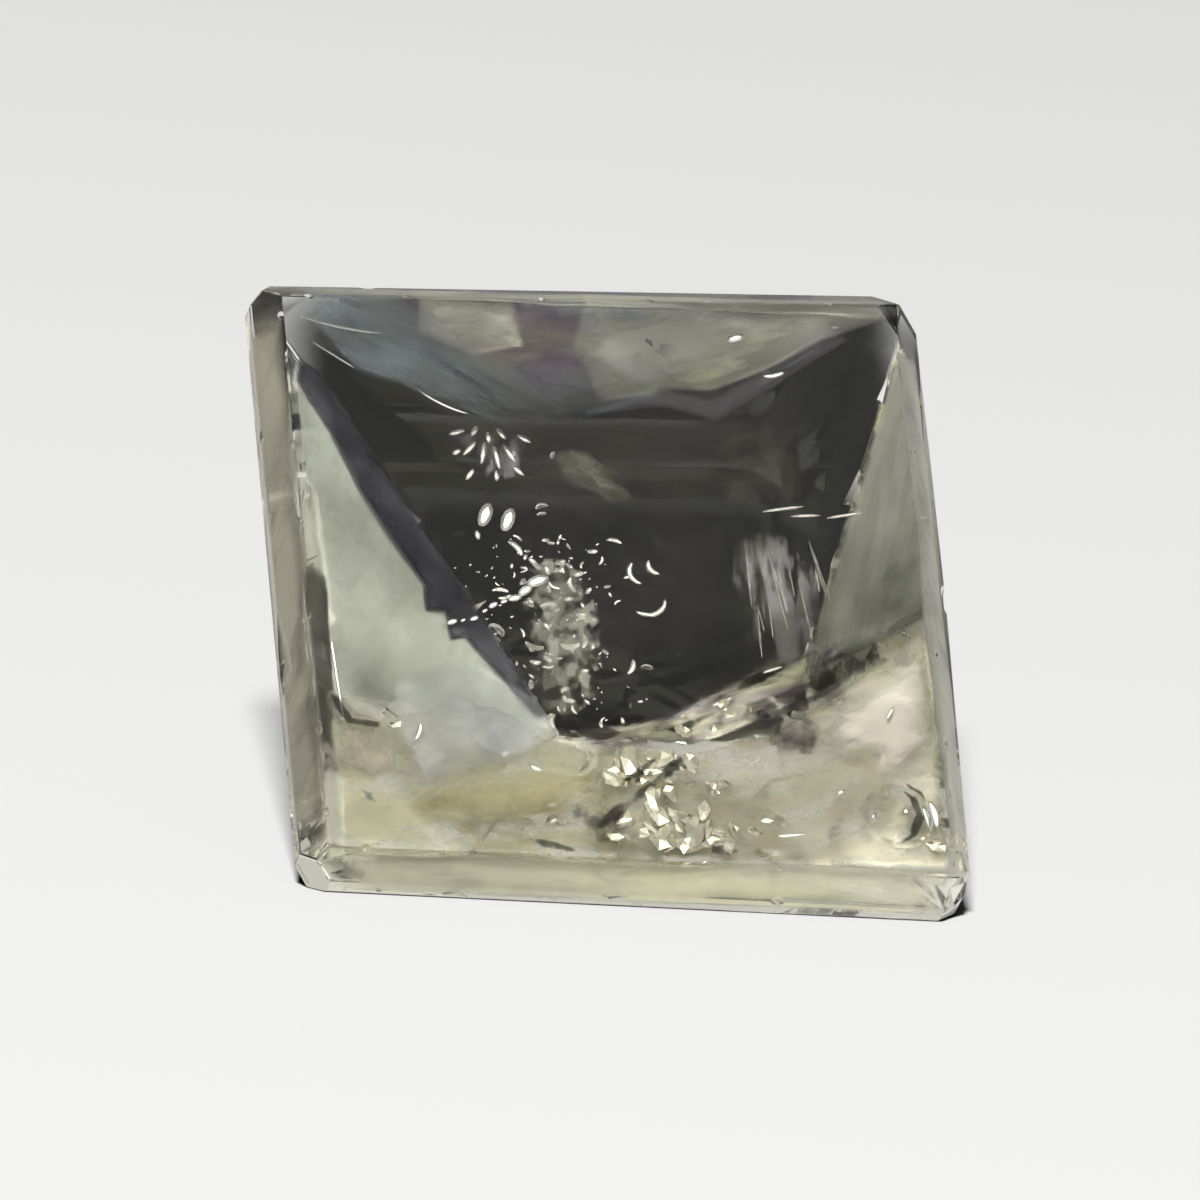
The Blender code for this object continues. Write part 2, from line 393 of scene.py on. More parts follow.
# Tints from a film's darkest patches to its lightest
BLUE_GREY = ((0.24, 0.25, 0.29), (0.50, 0.56, 0.62), (0.40, 0.36, 0.46), (0.84, 0.86, 0.84))
YELLOW_GREEN = ((0.64, 0.66, 0.52), (0.96, 0.96, 0.72), (0.90, 0.90, 0.82), (0.96, 0.76, 0.62))
LILAC_TEAL = ((0.36, 0.34, 0.28), (0.38, 0.54, 0.58), (0.44, 0.38, 0.48), (0.74, 0.66, 0.62))
LAVENDER = ((0.42, 0.40, 0.52), (0.66, 0.64, 0.76))
PLUM = ((0.30, 0.27, 0.32), (0.48, 0.44, 0.52))
BROWN = ((0.30, 0.25, 0.21), (0.46, 0.42, 0.38))
SMOKE = ((0.46, 0.46, 0.40), (0.80, 0.80, 0.70))
FIBRE = ((0.46, 0.44, 0.50), (0.84, 0.82, 0.86))
BRUSHED = ((0.12, 0.10, 0.14), (0.40, 0.37, 0.36), (0.90, 0.88, 0.72))
STRAW = ((0.68, 0.66, 0.48), (0.93, 0.90, 0.64), (0.99, 0.98, 0.86))
POOL = ((0.86, 0.78, 0.46), (0.93, 0.87, 0.57))
WARM = ((0.84, 0.76, 0.60), (0.98, 0.93, 0.80))
ROSE = ((0.72, 0.66, 0.56), (0.87, 0.82, 0.72))
BED = ((0.50, 0.48, 0.34), (0.88, 0.85, 0.64), (1.0, 0.98, 0.88))
FROST = ((0.82, 0.84, 0.84), (0.96, 0.98, 1.0))
WHEAT = ((0.51, 0.48, 0.37), (0.75, 0.71, 0.54), (0.88, 0.84, 0.73))
SAGE = ((0.60, 0.63, 0.52), (0.82, 0.86, 0.74), (0.96, 0.99, 0.98))
ASH = ((0.36, 0.37, 0.32), (0.58, 0.59, 0.52), (0.74, 0.75, 0.70))
SHADE = ((0.14, 0.14, 0.12), (0.32, 0.32, 0.28))
OLIVE = ((0.42, 0.40, 0.34), (0.66, 0.66, 0.50), (0.84, 0.82, 0.66))
UMBER = ((0.34, 0.32, 0.26), (0.58, 0.55, 0.44), (0.74, 0.72, 0.62))
PEARL = ((0.70, 0.69, 0.62), (0.90, 0.89, 0.82))
# Near-black tints of the painted shade beside the dark facet
PAINTED_SHADE_TINTS = ((0.04, 0.04, 0.05), (0.14, 0.14, 0.15))
# Tints of the dirt in the cracks, and of the painted shadows in the pit and along the keel
SOOT_AND_SHADE = ((0.03, 0.02, 0.03), (0.12, 0.09, 0.07))


# Each outline below gives the right, far and depth of its corners

# The iridescent feathers along the far edge
LEFT_FEATHER = (
    (-1.36, 1.38, 0.18), (-1.05, 1.42, 0.15), (-0.62, 1.42, 0.15), (-0.14, 1.42, 0.15),
    (-0.01, 1.11, 0.35), (-0.07, 0.78, 0.60), (-0.42, 0.71, 0.65), (-0.63, 0.75, 0.62),
    (-0.91, 0.90, 0.50), (-1.09, 0.95, 0.45), (-1.27, 1.16, 0.30),
)
OLIVE_PATCH = (
    (-0.78, 1.40, 0.12), (-0.34, 1.40, 0.12), (-0.30, 1.14, 0.24), (-0.56, 1.08, 0.30),
    (-0.80, 1.18, 0.22),
)
MIDDLE_FEATHER = (
    (-0.83, 1.41, 0.14), (0.02, 1.41, 0.14), (0.44, 1.41, 0.14), (0.36, 1.07, 0.34),
    (0.26, 0.91, 0.47), (-0.07, 0.79, 0.55), (-0.36, 0.86, 0.50), (-0.60, 1.03, 0.36),
)
RIGHT_FEATHER = (
    (-0.03, 1.42, 0.13), (0.66, 1.42, 0.13), (1.34, 1.42, 0.13), (1.36, 1.36, 0.16),
    (1.07, 1.25, 0.20), (0.78, 1.07, 0.32), (0.51, 0.95, 0.42), (0.27, 0.94, 0.42),
    (-0.01, 0.87, 0.47), (-0.12, 1.14, 0.27),
)
LAVENDER_EDGE = (
    (-0.04, 0.81, 0.60), (0.27, 0.97, 0.49), (0.50, 0.92, 0.52), (0.79, 1.11, 0.38),
    (1.07, 1.29, 0.24), (1.18, 1.26, 0.26), (0.89, 1.06, 0.43), (0.52, 0.81, 0.61),
    (0.26, 0.87, 0.57),
)

# Faint films in the dark facet
WINDOW_HAZE = (
    (-1.15, 1.10, 0.22), (1.20, 1.22, 0.20), (1.05, 0.71, 0.50), (0.78, -0.15, 1.00),
    (-0.22, -0.58, 1.25), (-0.55, -0.22, 1.00), (-0.92, 0.60, 0.52),
)
MOTTLE = (
    (0.44, 0.80, 0.54), (0.77, 0.90, 0.47), (1.03, 0.82, 0.54), (1.05, 0.50, 0.76),
    (0.82, 0.31, 0.90), (0.45, 0.36, 0.88),
)
GREY_SMEAR = (
    (-0.27, 0.63, 0.68), (-0.05, 0.67, 0.65), (0.14, 0.53, 0.77), (0.26, 0.35, 0.90),
    (0.02, 0.31, 0.93), (-0.24, 0.45, 0.82),
)
CLOUD_COLUMN = (
    (-0.42, 0.16, 0.92), (-0.18, 0.14, 0.92), (-0.03, -0.13, 0.95), (-0.09, -0.49, 1.00),
    (-0.17, -0.75, 1.05), (-0.42, -0.76, 1.05), (-0.50, -0.39, 0.98),
)
FAN_HAZE = (
    (-0.74, 0.72, 0.78), (-0.62, 0.80, 0.76), (-0.36, 0.78, 0.76), (-0.28, 0.66, 0.82),
    (-0.40, 0.46, 0.88), (-0.62, 0.44, 0.88),
)
SILK_VEIL = (
    (0.50, 0.26, 0.85), (0.80, 0.30, 0.80), (0.98, 0.02, 0.85), (0.90, -0.28, 1.05),
    (0.86, -0.46, 1.15), (0.66, -0.48, 1.20), (0.56, -0.26, 1.10), (0.46, 0.00, 1.00),
)

# Over the keel and in front of it
KEEL_BAND = (
    (-0.36, -0.79, 1.74), (-0.14, -0.73, 1.74), (0.14, -0.66, 1.69), (0.53, -0.46, 1.54),
    (0.84, -0.28, 1.38), (1.04, -0.20, 0.98), (0.96, -0.40, 1.02), (0.72, -0.66, 1.58),
    (0.33, -0.83, 1.66), (-0.10, -0.90, 1.52),
)
LOWER_LEFT_VEIL = (
    (-1.37, -0.68, 0.26), (-0.85, -0.62, 0.42), (-0.45, -0.72, 0.46), (-0.14, -0.84, 0.46),
    (-0.06, -1.43, 0.26), (-0.75, -1.43, 0.24), (-1.40, -1.42, 0.20),
)
YELLOW_POOL = (
    (-1.06, -1.17, 0.22), (-0.92, -1.06, 0.26), (-0.77, -0.99, 0.28), (-0.52, -0.94, 0.30),
    (-0.20, -0.98, 0.30), (-0.18, -1.12, 0.26), (-0.40, -1.20, 0.22), (-0.70, -1.24, 0.20),
    (-0.98, -1.23, 0.20),
)
WARM_PATCH = (
    (-1.33, -0.76, 0.22), (-1.08, -0.78, 0.26), (-1.06, -0.98, 0.24), (-1.18, -1.06, 0.22),
    (-1.34, -1.02, 0.19),
)
ROSE_PATCH = (
    (0.80, -0.64, 0.28), (1.04, -0.46, 0.26), (1.34, -0.30, 0.20), (1.37, -0.70, 0.18),
    (1.36, -1.06, 0.17), (1.14, -1.04, 0.20), (0.98, -0.86, 0.25), (0.80, -0.82, 0.28),
)
BROKEN_BED = (
    (-0.24, -0.82, 0.48), (0.14, -0.84, 0.50), (0.22, -1.10, 0.42), (0.10, -1.42, 0.28),
    (-0.16, -1.42, 0.28), (-0.26, -1.10, 0.40),
)
PALE_PATCH = (
    (-1.05, -0.52, 0.33), (-0.72, -0.42, 0.36), (-0.42, -0.60, 0.37), (-0.32, -0.80, 0.36),
    (-0.52, -0.94, 0.33), (-0.80, -1.05, 0.30), (-1.04, -1.16, 0.25), (-1.14, -0.88, 0.30),
)
LOWER_RIGHT_VEIL = (
    (0.10, -0.84, 0.48), (0.60, -0.70, 0.48), (1.00, -0.42, 0.44), (1.38, -0.18, 0.24),
    (1.39, -0.79, 0.22), (1.40, -1.42, 0.20), (0.80, -1.43, 0.24), (-0.02, -1.43, 0.26),
)

# Over the flanks
LEFT_FLANK_VEIL = (
    (-1.36, 1.05, 0.34), (-1.28, 0.94, 0.36), (-1.09, 0.60, 0.38), (-0.90, 0.25, 0.40),
    (-0.71, -0.10, 0.42), (-0.52, -0.45, 0.44), (-0.33, -0.79, 0.46), (-0.64, -0.78, 0.44),
    (-1.03, -0.70, 0.40), (-1.32, -0.66, 0.34), (-1.34, -0.27, 0.34), (-1.36, 0.38, 0.34),
)
RIGHT_FLANK_VEIL = (
    (1.39, 1.22, 0.36), (1.42, 0.72, 0.28), (1.41, 0.28, 0.28), (1.41, -0.08, 0.26),
    (1.16, -0.26, 0.81), (0.79, -0.45, 1.58), (0.93, -0.04, 1.33), (1.06, 0.32, 1.06),
    (1.19, 0.68, 0.78), (1.33, 1.04, 0.50),
)
# Painted shade: a near-black sheet that carries the dark facet further left over the left flank; the stone's
# shadow on the floor is what shows dark through that facet
PAINTED_WINDOW_SHADE = (
    (-1.36, 0.92, 0.33), (-1.34, 1.05, 0.33), (-1.24, 0.98, 0.34), (-1.06, 0.62, 0.36),
    (-0.87, 0.27, 0.38), (-0.68, -0.08, 0.40), (-0.50, -0.44, 0.42), (-0.36, -0.72, 0.44),
    (-0.43, -0.71, 0.43), (-0.58, -0.51, 0.42), (-0.71, -0.33, 0.40), (-0.78, -0.35, 0.40),
    (-0.79, -0.21, 0.39), (-0.88, -0.21, 0.39), (-0.88, -0.08, 0.39), (-1.00, 0.14, 0.37),
    (-1.13, 0.39, 0.36), (-1.24, 0.68, 0.35),
)
FLANK_SHADE = (
    (1.00, -0.26, 0.46), (1.38, -0.08, 0.19), (1.38, 0.20, 0.19), (1.24, 0.16, 0.32),
    (1.08, -0.04, 0.44),
)

# Under the crown, a strip to a side
FAR_SIDE_VEIL = (
    (-1.34, 1.36, 0.03), (0.00, 1.36, 0.03), (1.34, 1.36, 0.03), (1.34, 1.37, 0.22),
    (0.00, 1.37, 0.22), (-1.38, 1.37, 0.22),
)
LEFT_SIDE_VEIL = (
    (-1.38, 1.32, 0.03), (-1.38, 0.00, 0.03), (-1.38, -1.32, 0.03), (-1.49, -1.38, 0.22),
    (-1.49, 0.00, 0.22), (-1.49, 1.28, 0.22),
)
RIGHT_SIDE_VEIL = (
    (1.36, 1.32, 0.03), (1.36, 0.00, 0.03), (1.36, -1.32, 0.03), (1.41, -1.38, 0.22),
    (1.41, 0.00, 0.22), (1.41, 1.28, 0.22),
)
NEAR_SIDE_VEIL = (
    (-1.32, -1.38, 0.03), (0.00, -1.38, 0.03), (1.32, -1.38, 0.03), (1.36, -1.52, 0.22),
    (0.00, -1.52, 0.22), (-1.40, -1.52, 0.22),
)

# Dirty cracks, and painted shadows of chips and of the pit
CRACKS_AND_PAINTED_SHADOWS = {
    "left_crack": (
        (-1.40, 0.02, 0.20), (-1.30, 0.04, 0.34), (-1.29, -0.45, 0.38), (-1.33, -0.93, 0.32),
        (-1.41, -0.96, 0.21), (-1.41, -0.50, 0.20),
    ),
    # Painted shadow: the dark crescent in the round pit
    "pit_shadow": (
        (1.17, -0.94, 0.13), (1.27, -1.00, 0.13), (1.30, -1.12, 0.13), (1.24, -1.24, 0.13),
        (1.08, -1.32, 0.13), (1.19, -1.21, 0.13), (1.24, -1.10, 0.13), (1.22, -1.01, 0.13),
    ),
    "keel_nick": ((-0.19, -0.73, 1.64), (-0.03, -0.68, 1.60), (0.11, -0.69, 1.61), (-0.03, -0.75, 1.66)),
    "second_keel_nick": (
        (0.01, -0.81, 1.67), (0.21, -0.71, 1.63), (0.32, -0.69, 1.62), (0.15, -0.80, 1.68),
    ),
    "third_keel_nick": (
        (0.24, -0.64, 1.57), (0.41, -0.56, 1.51), (0.52, -0.54, 1.50), (0.35, -0.65, 1.58),
    ),
    "fourth_keel_nick": (
        (0.47, -0.51, 1.48), (0.66, -0.42, 1.41), (0.77, -0.40, 1.39), (0.60, -0.51, 1.48),
    ),
    "fifth_keel_nick": (
        (0.77, -0.43, 1.42), (0.97, -0.32, 1.02), (1.05, -0.31, 0.85), (0.88, -0.42, 1.21),
    ),
    "long_diagonal_crack": (
        (-0.24, -1.23, 0.20), (-0.10, -1.11, 0.24), (0.05, -0.99, 0.29), (0.22, -0.83, 0.35),
        (0.25, -0.89, 0.33), (0.07, -1.04, 0.27), (-0.07, -1.17, 0.22), (-0.19, -1.27, 0.19),
    ),
    "short_diagonal_crack": (
        (-0.12, -1.04, 0.27), (0.05, -0.90, 0.33), (0.12, -0.86, 0.35), (0.00, -1.00, 0.29),
    ),
    # Painted shadow along the keel
    "keel_shadow": (
        (-0.38, -0.76, 1.66), (-0.14, -0.73, 1.66), (0.05, -0.77, 1.66), (0.24, -0.70, 1.63),
        (0.46, -0.61, 1.56), (0.23, -0.77, 1.66), (-0.04, -0.83, 1.63), (-0.28, -0.81, 1.64),
    ),
    "keel_stroke": (
        (0.35, -0.62, 1.56), (0.55, -0.46, 1.46), (0.83, -0.33, 1.31), (0.97, -0.27, 1.02),
        (0.77, -0.40, 1.38), (0.57, -0.52, 1.49),
    ),
    "lower_stroke": (
        (0.56, -0.66, 0.44), (0.80, -0.55, 0.41), (1.06, -0.40, 0.36), (1.01, -0.47, 0.37),
        (0.78, -0.61, 0.41), (0.62, -0.68, 0.42),
    ),
    "upper_stroke": (
        (0.60, -0.57, 0.48), (0.84, -0.46, 0.46), (1.02, -0.34, 0.42), (0.98, -0.40, 0.42),
        (0.82, -0.51, 0.46), (0.66, -0.60, 0.48),
    ),
    "left_rim_crack": (
        (-0.57, -1.29, 0.14), (-0.41, -1.30, 0.14), (-0.26, -1.37, 0.13), (-0.44, -1.36, 0.13),
    ),
    "right_rim_crack": (
        (0.29, -1.28, 0.14), (0.47, -1.31, 0.14), (0.38, -1.37, 0.13), (0.28, -1.34, 0.13),
    ),
    "left_mark": (
        (-1.34, -0.60, 0.20), (-1.29, -0.65, 0.21), (-1.24, -0.74, 0.22), (-1.10, -0.76, 0.23),
        (-1.12, -0.80, 0.22), (-1.27, -0.78, 0.21), (-1.33, -0.69, 0.20),
    ),
    "left_corner_mark": (
        (-1.25, -1.08, 0.17), (-1.18, -1.10, 0.18), (-1.15, -1.17, 0.18), (-1.22, -1.15, 0.17),
    ),
}
# Stains with a soft edge
DARK_PATCHES = {
    "brown_spot": (
        (-0.32, -1.13, 0.20), (-0.16, -1.07, 0.22), (-0.04, -1.22, 0.20), (-0.10, -1.33, 0.17),
        (-0.28, -1.31, 0.17),
    ),
    "brown_patch": (
        (0.57, -0.67, 0.42), (0.73, -0.60, 0.40), (0.89, -0.69, 0.38), (0.81, -0.85, 0.38),
        (0.62, -0.82, 0.40),
    ),
}


def films():
    """Fluid veils, iridescent feathers, stains and cracks, a sheet of painted shade, and painted shadows."""
    # The iridescent feathers along the far edge
    film("left_feather", LEFT_FEATHER, 0.10, veil(
        "blue_grey_film", BLUE_GREY, 0.12, 0.95, turn=-30, stretch=6, fineness=6, patches=2.5))
    film("olive_patch", OLIVE_PATCH, 0.20, veil(
        "olive_film", YELLOW_GREEN, 0.3, 0.9, turn=5, stretch=3, fineness=5))
    film("middle_feather", MIDDLE_FEATHER, 0.22, veil(
        "lilac_film", LILAC_TEAL, 0.25, 0.95, stretch=3, fineness=5, patches=1.6))
    film("right_feather", RIGHT_FEATHER, 0.18, veil(
        "green_film", YELLOW_GREEN, 0.35, 0.95, turn=18, stretch=4, fineness=6, patches=1.8))
    film("lavender_edge", LAVENDER_EDGE, 0.12, veil(
        "lavender_film", LAVENDER, 0.3, 0.8, turn=20, stretch=3))
    # Faint films in the dark facet
    film("window_haze", WINDOW_HAZE, 0.30, veil(
        "plum_film", PLUM, 0.0, 0.03, fineness=2))
    film("brown_mottle", MOTTLE, 0.20, veil(
        "brown_film", BROWN, 0.0, 0.15))
    film("grey_smear", GREY_SMEAR, 0.12, veil(
        "smear_film", SMOKE, 0.0, 0.6, turn=-25, stretch=2.5, fineness=5))
    film("cloud_column", CLOUD_COLUMN, 0.16, veil(
        "smoke_film", SMOKE, 0.0, 0.22, turn=70, stretch=1.4, fineness=14))
    film("fan_haze", FAN_HAZE, 0.16, veil(
        "haze_film", FIBRE, 0.0, 0.3, turn=88, stretch=3, fineness=12))
    film("silk_veil", SILK_VEIL, 0.12, veil(
        "fibre_film", FIBRE, 0.0, 0.22, turn=97, stretch=9, fineness=18))
    # Over the keel and in front of it
    film("keel_band", KEEL_BAND, 0.10, veil(
        "brushed_film", BRUSHED, 0.10, 0.95, turn=18, stretch=7, fineness=12, patches=9))
    film("lower_left_veil", LOWER_LEFT_VEIL, 0.02, veil(
        "straw_film", STRAW, 0.25, 0.7, turn=15, stretch=2, fineness=8, patches=3))
    film("yellow_pool", YELLOW_POOL, 0.15, veil(
        "pool_film", POOL, 0.45, 0.85))
    film("warm_patch", WARM_PATCH, 0.12, veil(
        "warm_film", WARM, 0.35, 0.8, turn=80, stretch=4, fineness=8))
    film("rose_patch", ROSE_PATCH, 0.20, veil(
        "rose_film", ROSE, 0.15, 0.5, turn=30, stretch=3, fineness=5))
    film("broken_bed", BROKEN_BED, 0.08, veil(
        "bed_film", BED, 0.5, 0.9, turn=40, stretch=2, fineness=12, patches=5))
    film("pale_patch", PALE_PATCH, 0.30, veil(
        "frost_film", FROST, 0.35, 0.80, turn=30, stretch=2, fineness=3))
    film("lower_right_veil", LOWER_RIGHT_VEIL, 0.02, veil(
        "cream_film", WHEAT, 0.25, 0.75, turn=25, stretch=2, fineness=9, patches=3))
    # Over the flanks
    film("left_flank_veil", LEFT_FLANK_VEIL, 0.02, veil(
        "sage_film", SAGE, 0.5, 0.75, turn=60, stretch=2, fineness=5))
    film("right_flank_veil", RIGHT_FLANK_VEIL, 0.02, veil(
        "ash_film", ASH, 0.6, 0.9, turn=80, stretch=4, fineness=5))
    # Painted shade beside the dark facet
    film("window_margin", PAINTED_WINDOW_SHADE, 0.03, veil(
        "painted_shade_film", PAINTED_SHADE_TINTS, 0.8, 0.97, turn=60, stretch=4, fineness=6))
    film("flank_shade", FLANK_SHADE, 0.16, veil(
        "shade_film", SHADE, 0.3, 0.7, turn=25, stretch=3))
    # Under the crown, a strip to a side
    film("far_side_veil", FAR_SIDE_VEIL, 0.03, veil(
        "olive_strip", OLIVE, 0.35, 0.9, stretch=4))
    film("left_side_veil", LEFT_SIDE_VEIL, 0.03, veil(
        "umber_film", UMBER, 0.4, 0.9, turn=85, stretch=3))
    film("right_side_veil", RIGHT_SIDE_VEIL, 0.03, veil(
        "pearl_film", PEARL, 0.3, 0.7, turn=85, stretch=3))
    film("near_side_veil", NEAR_SIDE_VEIL, 0.03, veil(
        "straw_strip", STRAW, 0.45, 0.9, stretch=3))
    # Cracks and stains, and painted shadows in the pit and along the keel
    grime_and_shade = dark_crack_and_shadow()
    for name, outline in CRACKS_AND_PAINTED_SHADOWS.items():
        film(name, outline, CRACK_FADE, grime_and_shade, CRACK_RIPPLE, CRACK_CUTS)
    for name, outline in DARK_PATCHES.items():
        film(name, outline, PATCH_FADE, grime_and_shade, CRACK_RIPPLE, CRACK_CUTS)


# ---------------------------------------------------------------- bubbles, needles and crumbs


def glitter_place(place, turn, lean):
    """The pose at a place that throws the light forward, turned on itself and leant, in degrees."""
    turned = Matrix.Rotation(radians(turn), 4, "Z") @ Matrix.Rotation(radians(lean), 4, "Y")
    return Matrix.Translation(inside(*place)) @ GLITTER_POSE @ turned


def grain(place, size, turn, lean=0.0, bend=0.0):
    """One rounded grain of the given half lengths in mm; a bent one curls."""
    bpy.ops.object.select_all(action="DESELECT")
    bpy.ops.mesh.primitive_ico_sphere_add(subdivisions=3 if bend else 2, radius=1.0)
    made = bpy.context.object
    made.scale = [half * MM for half in size]
    settle(made)
    if bend:
        curl = made.modifiers.new("curl", "SIMPLE_DEFORM")
        curl.deform_method = "BEND"
        curl.deform_axis = "Z"
        curl.angle = radians(bend)
        apply_all(made)
    made.matrix_world = glitter_place(place, turn, lean)
    settle(made)
    bpy.ops.object.shade_smooth()
    return made


def crumb(place, reach, turn, lean, chance):
    """A broken chip of stone: a flat, uneven, sharp-cornered lump."""
    bpy.ops.object.select_all(action="DESELECT")
    bpy.ops.mesh.primitive_ico_sphere_add(subdivisions=1, radius=1.0)
    chip = bpy.context.object
    for vertex in chip.data.vertices:
        vertex.co *= chance.uniform(0.6, 1.15)
    chip.scale = [half * MM for half in (reach, reach * chance.uniform(0.35, 0.8), reach * 0.12)]
    settle(chip)
    chip.matrix_world = glitter_place(place, turn, lean)
    settle(chip)
    return chip


def joined(pieces, name, finish):
    """Make the pieces one piece of the stone."""
    bpy.ops.object.select_all(action="DESELECT")
    for piece in pieces:
        piece.select_set(True)
    bpy.context.view_layer.objects.active = pieces[0]
    bpy.ops.object.join()
    pieces[0].name = name
    keep_inside(pieces[0])
    apply_all(pieces[0])
    fit_in(pieces[0], finish)


# The fan of bright strokes: right, far, depth, half length, turn
FAN = (
    (-0.66, 0.70, 0.70, 0.040, 200.0), (-0.61, 0.62, 0.74, 0.050, 228.0),
    (-0.55, 0.60, 0.76, 0.062, 256.0), (-0.49, 0.58, 0.76, 0.062, 276.0),
    (-0.43, 0.60, 0.74, 0.050, 296.0), (-0.62, 0.49, 0.80, 0.036, 235.0),
    (-0.36, 0.68, 0.70, 0.035, 325.0), (-0.52, 0.68, 0.70, 0.030, 270.0),
    (-0.58, 0.71, 0.70, 0.030, 240.0), (-0.46, 0.70, 0.70, 0.034, 300.0),
    (-0.40, 0.52, 0.80, 0.036, 312.0), (-0.50, 0.49, 0.80, 0.030, 266.0),
    (-0.67, 0.60, 0.74, 0.024, 215.0),
)
FAN_STROKE = (0.012, 0.0015)    # half width and half thickness
# The two bright drops under the fan: right, far
DROPS = ((-0.57, 0.29), (-0.47, 0.27))
DROP_DEPTH, DROP_SIZE, DROP_TURN = 0.95, (0.068, 0.030, 0.003), 68.0
# The dotted bright line: right, far, half length
BEADS = (
    (-0.76, -0.25, 0.028), (-0.71, -0.24, 0.014), (-0.66, -0.23, 0.022), (-0.61, -0.19, 0.016),
    (-0.57, -0.16, 0.026), (-0.52, -0.14, 0.018), (-0.47, -0.12, 0.034), (-0.42, -0.08, 0.042),
    (-0.36, -0.03, 0.055),
)
BEAD_DEPTH = 0.36
# The crescents right of the cloud: right, far, half length, turn
CRESCENTS = ((0.16, -0.17, 0.095, 25.0), (0.06, 0.02, 0.070, 285.0), (0.15, 0.05, 0.050, 300.0))
CRESCENT_DEPTH, CRESCENT_STROKE, CRESCENT_BEND = 1.20, (0.013, 0.002), 130.0
CLOUD_GRAINS, CLOUD_BUBBLES = 200, 10


def depth_behind_cloud(far):
    """Depth of the lower facets behind the cloud, less some room."""
    return min(0.95 - far * 0.85, 1.55)


def bubble_cloud():
    """The cloud of specks under the middle of the table, and what shines beside it."""
    chance = random.Random(3)
    glints = [grain((right, far, depth), (half, *FAN_STROKE), turn) for right, far, depth, half, turn in FAN]
    glints += [grain((right, far, DROP_DEPTH), DROP_SIZE, DROP_TURN) for right, far in DROPS]
    for right, far, half in BEADS:
        size = (half, half * 0.5, half * 0.05)
        glints.append(grain((right, far, BEAD_DEPTH), size, chance.uniform(15, 45)))
    for right, far, half, turn in CRESCENTS:
        place = (right, far, CRESCENT_DEPTH)
        glints.append(grain(place, (half, *CRESCENT_STROKE), turn, bend=CRESCENT_BEND))
    for _ in range(CLOUD_GRAINS):
        right, far = chance.gauss(-0.34, 0.19), chance.uniform(-0.74, 0.20)
        depth = depth_behind_cloud(far) - chance.uniform(0.0, 0.30)
        half = 0.005 + 0.024 * chance.random() ** 2
        bend = chance.choice((0.0, 0.0, 0.0, 0.0, 0.0, 0.0, 70.0, -100.0))
        size = (half * (1.8 if bend else 1.0), half * 0.5, half * 0.07)
        lean = chance.gauss(0.0, 5.0)
        glints.append(grain((right, far, depth), size, chance.uniform(0, 180), lean, bend))
    joined(glints, "bubble_cloud", bright_grain())
    bubbles = []
    for _ in range(CLOUD_BUBBLES):
        right, far = chance.gauss(-0.30, 0.20), chance.uniform(-0.72, 0.65)
        depth = depth_behind_cloud(far) - chance.uniform(0.0, 0.35)
        half = chance.uniform(0.012, 0.040)
        bend = chance.choice((0.0, 90.0, -90.0))
        size = (half * 1.5, half * 0.6, half * 0.6)
        bubbles.append(grain((right, far, depth), size, chance.uniform(0, 180), bend=bend))
    joined(bubbles, "gas_bubbles", gas())


NEEDLES = 13
NEEDLE_DEPTH, NEEDLE_RADIUS, NEEDLE_LEAN = 1.02, 0.004, 8.0
# The short level needles: right, far, half length
LEVEL_NEEDLES = ((0.78, 0.38, 0.10), (0.88, 0.35, 0.07), (1.06, 0.36, 0.09))
LEVEL_DEPTH, LEVEL_WIDTH, LEVEL_THICKNESS = 0.80, 0.009, 0.006


def silk():
    """Fine upright needles at the right of the dark facet, and short level ones over them."""
    chance = random.Random(11)
    needles = []
    for _ in range(NEEDLES):
        right = 0.66 + chance.uniform(-0.10, 0.26)
        far = chance.uniform(-0.26, 0.08)
        size = (chance.uniform(0.07, 0.20), NEEDLE_RADIUS, NEEDLE_RADIUS)
        turn = 96.0 + chance.uniform(-9, 9)
        needles.append(grain((right, far, NEEDLE_DEPTH), size, turn, NEEDLE_LEAN))
    for right, far, half in LEVEL_NEEDLES:
        size = (half, LEVEL_WIDTH, LEVEL_THICKNESS)
        needles.append(grain((right, far, LEVEL_DEPTH), size, chance.uniform(-4, 10)))
    joined(needles, "silk", bright_grain())


# Heaps of crumbs: right, far, depth, how far they scatter, how many, half length of the largest
CRUMB_HEAPS = (
    (-0.10, -0.93, 0.36, 0.06, 10, 0.080), (0.02, -0.98, 0.34, 0.07, 12, 0.095),
    (0.16, -0.90, 0.36, 0.05, 9, 0.070), (0.02, -1.20, 0.24, 0.08, 12, 0.085),
    (0.20, -1.22, 0.24, 0.09, 13, 0.095), (0.40, -1.22, 0.22, 0.08, 9, 0.065),
    (0.34, -1.02, 0.30, 0.06, 5, 0.035),
    (1.30, -1.24, 0.14, 0.03, 4, 0.060), (0.44, -0.66, 0.80, 0.09, 6, 0.040),
    (0.24, -0.74, 0.80, 0.06, 5, 0.040), (-1.12, -0.78, 0.26, 0.06, 4, 0.035),
)


def crumbs():
    """Cream crumbs where the stone is broken under the table."""
    chance = random.Random(17)
    heaps = []
    for right, far, depth, scatter, count, reach in CRUMB_HEAPS:
        for _ in range(count):
            place = (chance.gauss(right, scatter), chance.gauss(far, scatter * 0.6), depth)
            size = reach * chance.uniform(0.45, 1.1)
            heaps.append(crumb(place, size, chance.uniform(0, 180), chance.gauss(0, 7), chance))
    joined(heaps, "crumbs", bright_grain("cream_crumb", (0.97, 0.93, 0.74)))


